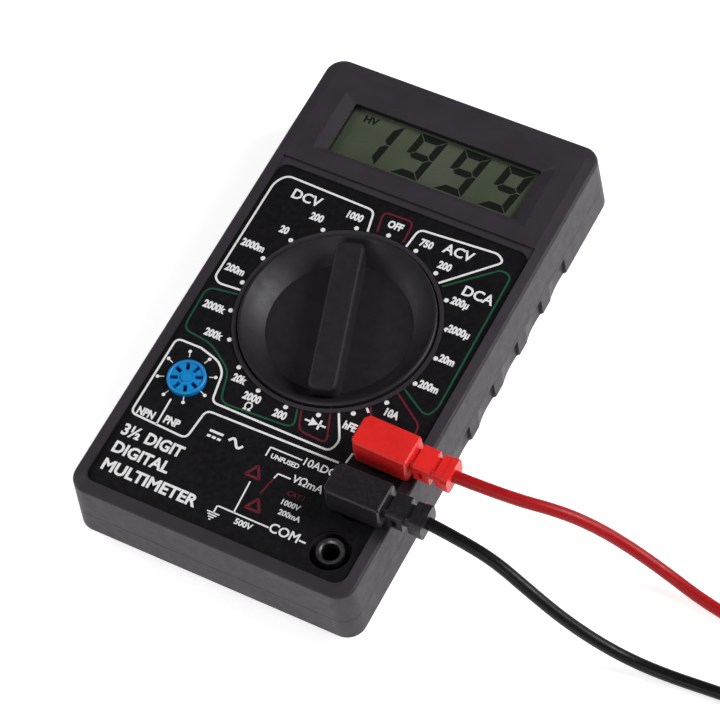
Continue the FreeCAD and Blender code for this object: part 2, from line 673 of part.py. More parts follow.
def wiper_contacts():
    """Three sprung strips under the contact plate, each with two feet over the tracks."""
    strips = []
    for radius, length in ((7.5, 6.0), (12.0, 8.0), (16.5, 9.0)):
        strip = box((-length / 2, length / 2), (radius - 0.9, radius + 0.9), (14.1, KNOB_PLATE_Z))
        feet = []
        for side in (-1, 1):
            feet.append(cylinder(side * (length / 2 - 0.8), radius, (PCB_Z[1] + FIT, 14.2), 0.7))
        strips.append(fuse(strip, *feet))
    return place_on_dial(Part.makeCompound(strips))


def detent_springs():
    """The two springs behind the balls, as sleeves of their outside size."""
    springs = []
    length = BALL_CENTRE_R - BALL_R - POCKET_R
    for side in (-1, 1):
        start = Vector(side * POCKET_R, 0, BALL_Z)
        outer = Part.makeCylinder(1.0, length, start, Vector(side, 0, 0))
        springs.append(outer.cut(Part.makeCylinder(0.7, length, start, Vector(side, 0, 0))))
    return place_on_dial(Part.makeCompound(springs))


def detent_balls():
    """The two balls that click into the notched ring."""
    balls = [Part.makeSphere(BALL_R, Vector(side * BALL_CENTRE_R, 0, BALL_Z)) for side in (-1, 1)]
    return place_on_dial(Part.makeCompound(balls))


# ================================================================ battery
BATTERY_MID_Y = BATTERY_Y0 + BATTERY_BODY[1] / 2
BATTERY_MID_Z = BATTERY_Z0 + BATTERY_BODY[2] / 2
TERMINAL_OFFSET = 6.35
SNAP_FACE_X = BATTERY_X0 - TERMINAL_HEIGHT - 0.1


def sideways_cylinder(x, y, z, radius):
    """A cylinder along X between the two values of x."""
    return Part.makeCylinder(radius, x[1] - x[0], Vector(x[0], y, z), Vector(1, 0, 0))


def battery():
    """Nine volt block battery with its two snap terminals."""
    length, width, height = BATTERY_BODY
    body = Part.makeBox(length, width, height, Vector(BATTERY_X0, BATTERY_Y0, BATTERY_Z0))
    long_edges = [e for e in body.Edges if abs(e.tangentAt(e.FirstParameter).x) > 0.9]
    body = body.makeFillet(2.2, long_edges)
    span = (BATTERY_X0 - TERMINAL_HEIGHT, BATTERY_X0)
    stud = sideways_cylinder(span, BATTERY_MID_Y - TERMINAL_OFFSET, BATTERY_MID_Z, 2.9)
    crown = sideways_cylinder(span, BATTERY_MID_Y + TERMINAL_OFFSET, BATTERY_MID_Z, 4.2)
    well = sideways_cylinder(span, BATTERY_MID_Y + TERMINAL_OFFSET, BATTERY_MID_Z, 3.2)
    return fuse(body, stud, crown.cut(well))


def battery_snap():
    """Snap connector that clips on the battery's terminals."""
    plate = box((SNAP_FACE_X - 1.6, SNAP_FACE_X), (BATTERY_MID_Y - 11.6, BATTERY_MID_Y + 11.6),
                (BATTERY_MID_Z - 5.4, BATTERY_MID_Z + 5.4))
    span = (SNAP_FACE_X - 0.1, BATTERY_X0 - 0.3)
    low_y = BATTERY_MID_Y - TERMINAL_OFFSET
    cup = sideways_cylinder(span, low_y, BATTERY_MID_Z, 3.8)
    cup_bore = sideways_cylinder((SNAP_FACE_X, BATTERY_X0), low_y, BATTERY_MID_Z, 3.0)
    stud = sideways_cylinder(span, BATTERY_MID_Y + TERMINAL_OFFSET, BATTERY_MID_Z, 3.1)
    return fuse(plate, stud, cup.cut(cup_bore))


def battery_leads():
    """Two thin wires from the snap connector to the board."""
    wires = []
    start_y = BATTERY_MID_Y + 11.6
    x = SNAP_FACE_X - 0.8
    for index, z in enumerate((7.2, 9.8)):
        shift = 2.4 * index
        points = [(x, start_y, z), (x, start_y + 3.0, z), (x + 1.2, start_y + 6.0, z - 1.4),
                  (x + 4.4 + shift, start_y + 7.4, z - 1.0), (x + 5.6 + shift, start_y + 7.0, PCB_Z[0])]
        wires.append(cord_tube("battery_lead_%d" % index, points, 1.2))
    return Part.makeCompound(wires)


# ================================================================ fasteners
def screw(x, y, head_z, head_r, head_height, shank_r, shank_top):
    """A pan-head screw put in from the rear, with a cross recess."""
    head = cylinder(x, y, (head_z, head_z + head_height), head_r)
    shank = cylinder(x, y, (head_z + head_height - 0.1, shank_top), shank_r)
    body = fuse(head, shank)
    reach = head_r * 0.6
    slot = head_r * 0.16
    depth = (head_z - 1, head_z + head_height * 0.5)
    across = box((x - reach, x + reach), (y - slot, y + slot), depth)
    along = box((x - slot, x + slot), (y - reach, y + reach), depth)
    return cut(body, across, along)


def case_screws():
    """Screws that hold the rear half on."""
    return Part.makeCompound([screw(x, y, 4.8, 2.2, 1.6, 1.2, 16.4) for x, y in CASE_POSTS])


def pcb_screws():
    """Small screws that hold the board to the front half."""
    head_z = PCB_Z[0] - 1.2
    return Part.makeCompound([screw(x, y, head_z, 1.7, 1.2, 0.8, 16.4) for x, y in PCB_POSTS])


# ================================================================ plugs and probes
def place_plug(shape, jack_y, yaw):
    """Turn a plug piece about its pin and put it over its jack."""
    shape.rotate(Vector(0, 0, 0), Vector(0, 0, 1), yaw)
    shape.translate(Vector(JACK_X, jack_y, 0))
    return shape


def block_outline(back, front, half_width, back_corner, front_corner, z):
    """Plan of the plug's block, with its four corners cut off."""
    points = [(-back + back_corner, -half_width), (front - front_corner, -half_width),
              (front, -half_width + front_corner), (front, half_width - front_corner),
              (front - front_corner, half_width), (-back + back_corner, half_width),
              (-back, half_width - back_corner), (-back, -half_width + back_corner)]
    return polygon_wire(points, z)


def collar(x, half_y, half_z, radius):
    """A rounded plate across the plug's neck, square to X."""
    outline = rounded_wire(half_z, half_y, radius, 0.0)
    plate = Part.Face(outline).extrude(Vector(0, 0, x[1] - x[0]))
    plate.rotate(Vector(0, 0, 0), Vector(0, 1, 0), 90)
    plate.translate(Vector(x[0], 0, CABLE_Z))
    return plate


def plug_body(jack_y, yaw):
    """Moulded right-angle plug: block, a notched collar on the neck and an end flange."""
    block = loft([block_outline(PLUG_BACK, PLUG_FRONT, 4.3, 1.6, 0.6, PLUG_BASE_Z),
                  block_outline(PLUG_BACK - 0.1, PLUG_FRONT, 4.2, 1.5, 0.5, PLUG_BASE_Z + 2.2),
                  block_outline(PLUG_BACK - 0.5, PLUG_FRONT - 0.1, 3.85, 1.1, 0.35, PLUG_TOP_Z - 0.35),
                  block_outline(PLUG_BACK - 0.85, PLUG_FRONT - 0.45, 3.5, 0.8, 0.3, PLUG_TOP_Z)])
    neck = collar((PLUG_FRONT - 0.5, PLUG_LENGTH - 1.0), 2.1, 2.1, 0.8)
    thick_collar = collar(NECK_COLLAR, 3.2, 2.8, 0.9)
    notches = []
    for side in (-1, 1):
        reach = sorted((side * 2.3, side * 4.0))
        notches.append(box(NECK_NOTCH, reach, (CABLE_Z - 1.2, CABLE_Z + 1.2)))
    flange = collar(NECK_FLANGE, 3.1, 2.7, 1.0)
    end_plate = collar((PLUG_LENGTH - 1.5, PLUG_LENGTH), 3.4, 2.85, 1.5)
    body = fuse(block, neck, cut(thick_collar, *notches), flange, end_plate)
    pin_hole = cylinder(0, 0, (PLUG_BASE_Z - 1, 26.0), 1.9)
    return place_plug(cut(body, pin_hole), jack_y, yaw)


def plug_pin(jack_y, yaw):
    """Metal core of the banana plug, pressed into the block."""
    profile = [(0, PIN_TIP_Z), (0.9, PIN_TIP_Z), (1.65, PIN_TIP_Z + 0.8), (1.65, PIN_TIP_Z + 1.3),
               (1.25, PIN_TIP_Z + 1.3), (1.25, 20.0), (1.9, 20.0), (1.9, 26.0), (0, 26.0)]
    return place_plug(upright_revolve(profile, 0, 0), jack_y, yaw)


def contact_spring(jack_y):
    """Slit sleeve that turns on the core and springs against the jack."""
    low = PIN_TIP_Z + 1.4
    high = 19.9
    middle = (low + high) / 2
    profile = [(1.31, low), (1.6, low), (1.7, low + 1.5), (1.98, middle - 2), (1.98, middle + 2),
               (1.7, high - 1.5), (1.6, high), (1.31, high), (1.31, high - 1.5),
               (1.68, middle + 2), (1.68, middle - 2), (1.31, low + 1.5)]
    sleeve = upright_revolve(profile, 0, 0)
    slits = []
    for step in range(3):
        slit = box((-3, 3), (-0.22, 0.22), (low + 1.6, high - 1.6))
        slit.rotate(Vector(0, 0, 0), Vector(0, 0, 1), 60 * step)
        slits.append(slit)
    return place_plug(cut(sleeve, *slits), jack_y, 0.0)


def probe_handle(back, direction):
    """Moulded grip with a strain relief, rings, finger guard and nose; along Y."""
    profile = [(0, 0), (1.9, 0), (3.1, 10.0), (3.6, 10.0), (4.0, 12.0), (4.3, 22.0)]
    for index in range(5):
        start = 24.0 + index * 7.0
        profile += [(4.3, start), (4.6, start + 1.0), (4.6, start + 4.0), (4.3, start + 5.0)]
    profile += [(4.3, 62.0), (4.0, 66.0), (5.0, 66.6), (5.0, 68.6), (3.3, 69.4), (2.4, 80.0),
                (2.0, PROBE_LENGTH), (0, PROBE_LENGTH)]
    origin = Vector(back[0], back[1], PROBE_AXIS_Z)
    body = revolve(profile, origin, Vector(0, direction, 0), Vector(1, 0, 0))
    socket = Part.makeCylinder(1.0, 14.0, origin + Vector(0, direction * (PROBE_LENGTH - 14.0), 0),
                               Vector(0, direction, 0))
    return body.cut(socket)


def probe_tip(back, direction):
    """Steel needle moulded into the handle."""
    end = PROBE_LENGTH + PROBE_TIP_LENGTH
    profile = [(0, PROBE_LENGTH - 14.0), (1.0, PROBE_LENGTH - 14.0), (1.0, end - 3.0), (0.15, end), (0, end)]
    origin = Vector(back[0], back[1], PROBE_AXIS_Z)
    return revolve(profile, origin, Vector(0, direction, 0), Vector(1, 0, 0))


def save_lead(colour, jack_y, yaw, route, coil, tail, probe, direction):
    """Everything that comes away with one plug."""
    save(colour + "_plug_body", plug_body(jack_y, yaw))
    save(colour + "_plug_pin", plug_pin(jack_y, yaw))
    save(colour + "_contact_spring", contact_spring(jack_y))
    save(colour + "_lead", cord_tube(colour + "_lead", route, CORD_D))
    save(colour + "_lead_coil", coil_solid(coil))
    save(colour + "_lead_tail", cord_tube(colour + "_lead_tail", tail, CORD_D))
    save(colour + "_probe_handle", probe_handle(probe, direction))
    save(colour + "_probe_tip", probe_tip(probe, direction))


# ================================================================ the whole meter
for part_name, make in (
        ("front_case", front_case), ("rear_case", rear_case), ("face_label", face_label),
        ("lcd_window", lcd_window), ("lcd_gasket", lcd_gasket), ("lcd_glass", lcd_glass),
        ("lcd_frame", lcd_frame), ("zebra_strip", zebra_strip),
        ("transistor_socket", transistor_socket), ("pcb", pcb),
        ("meter_chip", meter_chip), ("resistors", resistors), ("capacitors", capacitors),
        ("trimmer_base", trimmer_base), ("trimmer_rotor", trimmer_rotor),
        ("fuse_tube", fuse_tube), ("fuse_caps", fuse_caps), ("fuse_clips", fuse_clips),
        ("shunt_wire", shunt_wire), ("selector_knob", selector_knob),
        ("wiper_contacts", wiper_contacts), ("detent_springs", detent_springs),
        ("detent_balls", detent_balls), ("battery", battery), ("battery_snap", battery_snap),
        ("battery_leads", battery_leads), ("case_screws", case_screws), ("pcb_screws", pcb_screws)):
    save(part_name, make())

for jack_name, jack_row in (("10a", JACK_10A_Y), ("vma", JACK_VMA_Y), ("com", JACK_COM_Y)):
    save("input_jack_" + jack_name, input_jack(jack_row))

save_lead("red", JACK_10A_Y, RED_YAW, RED_ROUTE, RED_COIL, RED_TAIL, RED_PROBE, -1)
save_lead("black", JACK_VMA_Y, BLACK_YAW, BLACK_ROUTE, BLACK_COIL, BLACK_TAIL, BLACK_PROBE, 1)
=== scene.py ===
"""The looks of the pocket digital multimeter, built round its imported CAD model.

Lengths are in millimetres and are turned into metres where they are used.  Only the full length of a
lead, the floor and the lights are given in metres.  +Z points out of the face, +Y towards the display
and +X towards the side with the jacks.
"""

import json
import math

import bmesh
import bpy
from mathutils import Matrix, Vector


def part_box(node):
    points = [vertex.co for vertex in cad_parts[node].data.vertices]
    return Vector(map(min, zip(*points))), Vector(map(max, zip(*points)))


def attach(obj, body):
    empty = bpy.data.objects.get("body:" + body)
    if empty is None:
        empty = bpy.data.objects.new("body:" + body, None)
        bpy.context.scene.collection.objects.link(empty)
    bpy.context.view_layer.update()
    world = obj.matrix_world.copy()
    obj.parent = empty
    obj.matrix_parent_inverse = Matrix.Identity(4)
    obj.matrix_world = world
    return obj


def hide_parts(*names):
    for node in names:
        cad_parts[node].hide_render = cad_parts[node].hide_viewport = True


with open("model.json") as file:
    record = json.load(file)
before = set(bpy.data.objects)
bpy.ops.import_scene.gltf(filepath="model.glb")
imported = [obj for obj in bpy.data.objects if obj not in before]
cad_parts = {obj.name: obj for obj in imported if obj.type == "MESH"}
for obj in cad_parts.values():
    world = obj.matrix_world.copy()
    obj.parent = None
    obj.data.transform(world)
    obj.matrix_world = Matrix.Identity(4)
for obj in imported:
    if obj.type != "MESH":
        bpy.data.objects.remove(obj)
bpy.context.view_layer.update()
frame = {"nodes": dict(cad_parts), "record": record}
MM = 0.001

# the CAD model brings plain materials that have the same names as the ones made here
for plain in list(bpy.data.materials):
    bpy.data.materials.remove(plain)


def mm(*point):
    """A point given in millimetres, in metres."""
    return Vector(point) * MM


def top_of(node):
    """Height of a CAD node's highest point, in millimetres."""
    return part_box(node)[1].z / MM


# ================================================================ camera
CAMERA_PLACE = (226.08, -285.46, 591.0)
CAMERA_LOOKS = Vector((-0.32357, 0.41355, -0.85104))
CAMERA_UP = Vector((-0.34942, 0.78363, 0.51365))
LENS = 153.4
SENSOR = 36.0


def make_camera():
    """The camera, from where it stands and the directions in which it looks and holds its top."""
    data = bpy.data.cameras.new("camera")
    data.lens = LENS
    data.sensor_width = SENSOR
    camera = bpy.data.objects.new("camera", data)
    bpy.context.scene.collection.objects.link(camera)
    back = -CAMERA_LOOKS.normalized()
    right = CAMERA_UP.cross(back).normalized()
    up = back.cross(right)
    turn = Matrix((right, up, back)).transposed().to_4x4()
    camera.matrix_world = Matrix.Translation(mm(*CAMERA_PLACE)) @ turn
    bpy.context.scene.camera = camera


make_camera()


# ================================================================ materials
NOISE_LOW = 0.3              # nearly all values of a noise lie between these two
NOISE_HIGH = 0.7


class Surface:
    """A principled material whose nodes are added one by one."""

    def __init__(self, name, colour, roughness, **settings):
        self.material = bpy.data.materials.new(name)
        self.material.use_nodes = True
        self.tree = self.material.node_tree
        self.tree.nodes.clear()
        output = self.tree.nodes.new("ShaderNodeOutputMaterial")
        self.shader = self.tree.nodes.new("ShaderNodeBsdfPrincipled")
        self.tree.links.new(self.shader.outputs["BSDF"], output.inputs["Surface"])
        self.colour = colour
        self.roughness = roughness
        self.shader.inputs["Base Color"].default_value = (*colour, 1)
        self.shader.inputs["Roughness"].default_value = roughness
        for socket, value in settings.items():
            self.shader.inputs[socket.replace("_", " ")].default_value = value
        self.place = self.tree.nodes.new("ShaderNodeTexCoord").outputs["Object"]

    def node(self, kind, links=(), **values):
        """Add a node, set its inputs by name and link others to it."""
        made = self.tree.nodes.new(kind)
        for name, value in values.items():
            made.inputs[name.replace("_", " ")].default_value = value
        for name, source in links:
            self.tree.links.new(source, made.inputs[name])
        return made

    def noise(self, size_mm, detail=2.0):
        """Noise with features of about one size."""
        return self.node(
            "ShaderNodeTexNoise", [("Vector", self.place)], Scale=1 / (size_mm * MM), Detail=detail,
        ).outputs["Fac"]

    def spread(self, value, low, high, start=NOISE_LOW, end=NOISE_HIGH):
        """Map a value from one range to another."""
        return self.node(
            "ShaderNodeMapRange", [("Value", value)],
            From_Min=start, From_Max=end, To_Min=low, To_Max=high,
        ).outputs["Result"]

    def blotches(self, size_mm, share):
        """Uneven colour, lighter and darker by a share."""
        lighter = [c * (1 + share) for c in self.colour]
        self.tint(self.noise(size_mm), lighter, NOISE_LOW, NOISE_HIGH, share)

    def tint(self, value, colour, start, end, dark=0.0):
        """Run from the base colour, or from the tints before, to another one as a value rises."""
        mix = self.tree.nodes.new("ShaderNodeMix")
        mix.data_type = "RGBA"
        before = self.shader.inputs["Base Color"]
        sockets = [s for s in mix.inputs if s.type == "RGBA"]
        if before.is_linked:
            self.tree.links.new(before.links[0].from_socket, sockets[0])
        else:
            sockets[0].default_value = (*[c * (1 - dark) for c in self.colour], 1)
        sockets[1].default_value = (*colour, 1)
        self.tree.links.new(self.spread(value, 0.0, 1.0, start, end), mix.inputs["Factor"])
        result = [s for s in mix.outputs if s.type == "RGBA"][0]
        self.tree.links.new(result, before)

    def polish(self, size_mm, share):
        """Uneven gloss."""
        low = self.roughness * (1 - share)
        high = min(1.0, self.roughness * (1 + share))
        value = self.spread(self.noise(size_mm, 3.0), low, high)
        self.tree.links.new(value, self.shader.inputs["Roughness"])

    def grain(self, size_mm, depth_mm, strength=0.5):
        """Fine relief."""
        bump = self.node(
            "ShaderNodeBump", [("Height", self.noise(size_mm))],
            Strength=strength, Distance=depth_mm * MM,
        )
        self.tree.links.new(bump.outputs["Normal"], self.shader.inputs["Normal"])


def moulded(name, colour, roughness, grain_mm=0.35, depth_mm=0.02, **settings):
    """Moulded plastic with a fine spark-eroded grain."""
    surface = Surface(name, colour, roughness, **settings)
    surface.blotches(9.0, 0.10)
    surface.polish(2.5, 0.12)
    surface.grain(grain_mm, depth_mm)
    return surface


def glossy(name, colour, roughness, wave_mm=3.0, **settings):
    """Soft moulded vinyl, smooth with slight waves and scuffs."""
    surface = Surface(name, colour, roughness, **settings)
    surface.blotches(5.0, 0.07)
    surface.polish(0.8, 0.25)
    surface.grain(wave_mm, 0.04, strength=0.3)
    return surface


def metal(name, colour, roughness):
    """Plated or bare metal, slightly tarnished and scuffed."""
    surface = Surface(name, colour, roughness, Metallic=1.0)
    surface.blotches(1.5, 0.08)
    surface.polish(0.4, 0.35)
    surface.grain(0.25, 0.004)
    return surface


def make_label_film():
    """Printed film with a satin face."""
    surface = Surface("label_film", (0.0042, 0.0034, 0.0046), 0.38, Specular_IOR_Level=0.38)
    surface.blotches(12.0, 0.14)
    surface.polish(1.2, 0.18)
    surface.grain(0.16, 0.006)
    return surface


def make_clear_pane():
    """The pane over the display."""
    surface = Surface("clear_pane", (0.02, 0.022, 0.02), 0.06, Alpha=0.045)
    surface.polish(6.0, 0.5)
    return surface


def make_lcd_cell():
    """Grey-green display glass, lighter in places."""
    surface = Surface("lcd_cell", (0.064, 0.082, 0.050), 0.33)
    surface.tint(surface.noise(14.0), (0.084, 0.100, 0.068), 0.35, 0.65)
    surface.polish(0.5, 0.2)
    surface.grain(0.12, 0.003)
    return surface


def make_board():
    """Green circuit board, with copper tracks that show through its lacquer."""
    surface = Surface("board", (0.03, 0.12, 0.035), 0.38)
    tracks = surface.node(
        "ShaderNodeTexWave", [("Vector", surface.place)], Scale=260.0, Distortion=7.0,
    )
    surface.tint(tracks.outputs["Fac"], (0.10, 0.26, 0.07), 0.55, 0.62)
    surface.polish(1.0, 0.2)
    surface.grain(0.4, 0.01)
    return surface


def make_resistor_body():
    """Blue lacquer with red bands."""
    surface = Surface("resistor_body", (0.09, 0.26, 0.50), 0.28)
    bands = surface.node("ShaderNodeTexWave", [("Vector", surface.place)], Scale=190.0)
    surface.tint(bands.outputs["Fac"], (0.30, 0.05, 0.03), 0.86, 0.90)
    surface.grain(0.8, 0.03)
    return surface


def make_battery_jacket():
    """Black printed sleeve that is copper-coloured at one end."""
    surface = Surface("battery_jacket", (0.02, 0.02, 0.024), 0.30, Metallic=0.35)
    parts = surface.node("ShaderNodeSeparateXYZ", [("Vector", surface.place)])
    surface.tint(parts.outputs["X"], (0.62, 0.33, 0.12), 0.0075, 0.0080)
    surface.polish(2.0, 0.2)
    surface.grain(0.6, 0.01)
    return surface


def make_clear_glass():
    """The fuse's tube."""
    surface = Surface("clear_glass", (0.80, 0.86, 0.85), 0.05, Alpha=0.28)
    surface.polish(2.0, 0.4)
    return surface


SURFACES = [
    moulded("case_plastic", (0.034, 0.0285, 0.0355), 0.46, grain_mm=0.30, depth_mm=0.022,
            Specular_IOR_Level=0.20),
    moulded("knob_plastic", (0.0155, 0.0125, 0.0160), 0.50, grain_mm=0.30, depth_mm=0.018,
            Specular_IOR_Level=0.34),
    # painted shade: the near-black foam gasket round the display stands in for the shade along the
    # window's top and left inner edges
    moulded("foam", (0.006, 0.006, 0.006), 0.85, grain_mm=0.2),
    make_label_film(),
    make_clear_pane(),
    make_lcd_cell(),
    moulded("white_plastic", (0.70, 0.70, 0.67), 0.45),
    moulded("elastomer", (0.10, 0.10, 0.11), 0.75, grain_mm=0.1),
    make_board(),
    glossy("epoxy", (0.01, 0.01, 0.01), 0.16, wave_mm=1.5),
    make_resistor_body(),
    glossy("capacitor_body", (0.28, 0.05, 0.03), 0.3, wave_mm=1.0),
    moulded("trimmer_plastic", (0.02, 0.08, 0.35), 0.4),
    moulded("rotor_plastic", (0.78, 0.74, 0.64), 0.45),
    make_clear_glass(),
    metal("nickel", (0.56, 0.54, 0.50), 0.25),
    metal("jack_plate", (0.13, 0.125, 0.13), 0.42),
    metal("brass", (0.74, 0.53, 0.24), 0.28),
    metal("shunt_alloy", (0.55, 0.40, 0.28), 0.34),
    moulded("socket_plastic", (0.001, 0.225, 0.56), 0.42, grain_mm=0.5, depth_mm=0.01),
    metal("spring_steel", (0.55, 0.55, 0.56), 0.25),
    make_battery_jacket(),
    moulded("snap_plastic", (0.02, 0.02, 0.02), 0.55),
    glossy("wire_cover", (0.02, 0.02, 0.02), 0.4),
    metal("screw_steel", (0.45, 0.45, 0.46), 0.32),
    glossy("red_plug_plastic", (0.74, 0.020, 0.018), 0.34, Specular_IOR_Level=0.4),
    glossy("black_plug_plastic", (0.012, 0.0105, 0.0130), 0.38, Specular_IOR_Level=0.4),
    glossy("red_cord", (0.37, 0.005, 0.008), 0.42, Specular_IOR_Level=0.22),
    glossy("black_cord", (0.006, 0.006, 0.0065), 0.38, Specular_IOR_Level=0.18),
    glossy("red_handle", (0.60, 0.018, 0.016), 0.3),
    glossy("black_handle", (0.015, 0.015, 0.016), 0.3),
]
MATERIALS = {surface.material.name: surface.material for surface in SURFACES}


def paint_cad_nodes():
    """Give every CAD node the finish of its slot in the record."""
    for row in frame["record"]["subparts"]:
        mesh = frame["nodes"][row["node"]].data
        mesh.materials.clear()
        mesh.materials.append(MATERIALS[row["material_slot"]])


paint_cad_nodes()


# ================================================================ test leads
CORD_D = 2.8
COIL_OUTER_AXIS = 16.9
COIL_TURNS = 5.25
LEVEL_DEG = 300              # how far each turn keeps its radius and height
SHIFT_DEG = 30               # how far the move to the next turn takes
POINTS_PER_TURN = 16
TUBE_STEPS = 6               # fineness of the tube, along it and round it

# where each lead runs, from its plug to its coil and from its coil to its probe
RED_ROUTE = [(42.59, -27.55, 24.8), (55.1, -27.1, 24.2), (65.3, -24.0, 20.8), (72.4, -21.8, 15.6),
             (79.2, -20.3, 9.4), (87.2, -20.1, 4.0), (96.6, -21.9, 1.6), (107.0, -23.6, 1.4),
             (117.5, -24.2, 1.4)]
RED_COIL = (126.0, -8.0)
RED_TAIL = [(142.9, 2.5, 4.0), (142.7, 15.0, 2.2), (142.1, 28.0, 1.4),
            (141.8, 40.5, 1.4), (142.3, 52.0, 1.4), (147.4, 59.2, 1.4), (155.7, 61.9, 1.4),
            (163.9, 59.3, 1.4), (169.0, 52.3, 1.8), (169.5, 44.0, 4.0), (169.4, 36.0, 5.0)]
BLACK_ROUTE = [(42.6, -39.8, 24.8), (51.3, -40.6, 24.7), (59.2, -41.4, 23.2), (67.2, -42.7, 19.0),
               (74.4, -43.0, 13.2), (81.4, -42.4, 7.4), (88.8, -41.6, 3.0), (97.5, -41.0, 1.5),
               (108.0, -40.1, 1.4), (118.5, -39.4, 1.4)]
BLACK_COIL = (128.0, -56.0)
BLACK_TAIL = [(144.6, -62.5, 3.4), (145.2, -70.2, 1.7), (152.2, -79.8, 1.4),
              (163.6, -83.4, 1.4), (174.8, -79.6, 1.4), (182.0, -70.2, 1.8), (182.8, -60.0, 4.2),
              (182.6, -51.0, 5.0)]


def between(stations, turned):
    """Radius and height at an angle, from a list of (angle, radius, height)."""
    for (angle, radius, z), (next_angle, next_radius, next_z) in zip(stations, stations[1:]):
        if turned <= next_angle:
            share = (turned - angle) / (next_angle - angle)
            return radius + share * (next_radius - radius), z + share * (next_z - z)
    return stations[-1][1:]


def winding(centre, start_deg, sense):
    """The put-away turns: three on the floor from the outside in, the rest on top of them from
    the inside out."""
    outer = COIL_OUTER_AXIS
    middle = outer - CORD_D
    inner = middle - CORD_D
    low = CORD_D / 2
    high = low + CORD_D
    turns = [(outer, low), (middle, low), (inner, low), (inner, high), (middle, high), (outer, high)]
    stations = []
    for index, (radius, z) in enumerate(turns):
        begin = index * (LEVEL_DEG + SHIFT_DEG)
        stations += [(begin, radius, z), (begin + LEVEL_DEG, radius, z)]
    last = COIL_TURNS * 360
    step = 360 / POINTS_PER_TURN
    # control points stand outside the line that the spline follows between them
    outside = 1 / math.cos(math.radians(step / 2))
    points = []
    for index in range(round(last / step) + 1):
        turned = index * step
        radius, z = between(stations, turned)
        angle = math.radians(start_deg + sense * turned)
        x = centre[0] + radius * outside * math.cos(angle)
        y = centre[1] + radius * outside * math.sin(angle)
        points.append((x, y, z))
    return points


def make_lead(colour, route, coil, start_deg, sense, tail):
    """One lead, from its plug through the coil to its probe."""
    name = colour + "_test_lead"
    points = route + winding(coil, start_deg, sense) + tail
    curve = bpy.data.curves.new(name, "CURVE")
    curve.dimensions = "3D"
    curve.resolution_u = TUBE_STEPS
    curve.bevel_depth = CORD_D / 2 * MM
    curve.bevel_resolution = TUBE_STEPS
    curve.use_fill_caps = True
    spline = curve.splines.new("NURBS")
    spline.points.add(len(points) - 1)
    for control, point in zip(spline.points, points):
        control.co = (*mm(*point), 1)
    spline.order_u = 3
    spline.use_endpoint_u = True
    curve.materials.append(MATERIALS[colour + "_cord"])
    lead = bpy.data.objects.new(name, curve)
    bpy.context.scene.collection.objects.link(lead)
    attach(lead, colour + "_plug")
    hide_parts(colour + "_lead", colour + "_lead_coil", colour + "_lead_tail")


make_lead("red", RED_ROUTE, RED_COIL, -90, 1, RED_TAIL)
make_lead("black", BLACK_ROUTE, BLACK_COIL, 90, -1, BLACK_TAIL)


# ================================================================ printed ink
INK = 0.03                   # thickness of the printing
INK_SINK = 0.01              # how far its underside lies in the film
LABEL_Z = top_of("face_label")
CAP_SHARE = 0.729            # height of a capital letter in the built-in typeface, for a size of 1
CORNER_STEPS = 5
CORNER_REACH = 0.45          # the most of each side that a corner's curve takes
DOT_SIDES = 18


def rounded(points, radius, closed=False):
    """A polyline with its corners turned into short curves."""
    count = len(points)
    corners = [Vector(p) for p in points]
    result = [] if closed else [corners[0]]
    span = range(count) if closed else range(1, count - 1)
    for index in span:
        here = corners[index]
        before = corners[index - 1] - here
        after = corners[(index + 1) % count] - here
        reach = min(radius, CORNER_REACH * before.length, CORNER_REACH * after.length)
        start = here + before.normalized() * reach
        end = here + after.normalized() * reach
        for step in range(CORNER_STEPS + 1):
            t = step / CORNER_STEPS
            result.append(start * (1 - t) ** 2 + here * 2 * t * (1 - t) + end * t ** 2)
    if not closed:
        result.append(corners[-1])
    return result


